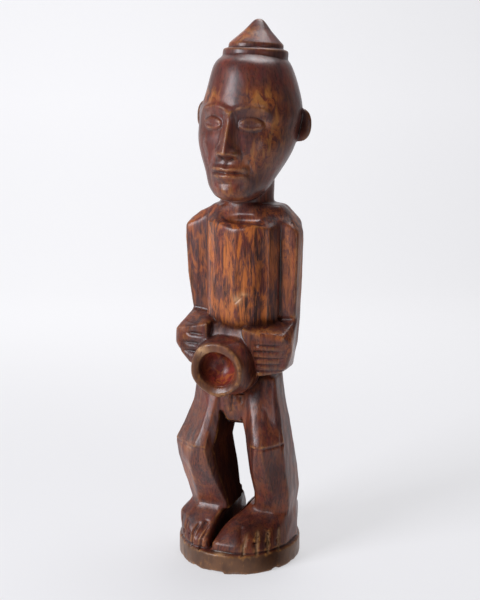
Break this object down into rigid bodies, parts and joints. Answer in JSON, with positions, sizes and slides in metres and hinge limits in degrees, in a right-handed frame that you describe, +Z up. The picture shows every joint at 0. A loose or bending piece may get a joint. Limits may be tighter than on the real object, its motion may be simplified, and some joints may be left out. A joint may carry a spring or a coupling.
{
  "type": "carved wooden songye figure",
  "caption": "Standing carved wooden male figure with bent knees, holding a thick-walled cup in both hands, wearing a ringed conical cap, on a round base of the same block.",
  "frame": {"origin": "centre of the flat underside of the round base, on the surface that the figure stands on", "axes": "+Z up, towards the peak of the cap; the figure faces -Y; its own left side is +X"},
  "size_m": [0.1377, 0.1361, 0.5601],
  "materials": {
    "stained_hardwood": "dark red-brown stain under wax, semi-gloss, worn to orange on edges and high places"
  },
  "bodies": {
    "root": {"figure": "stained_hardwood"}
  },
  "joints": []
}
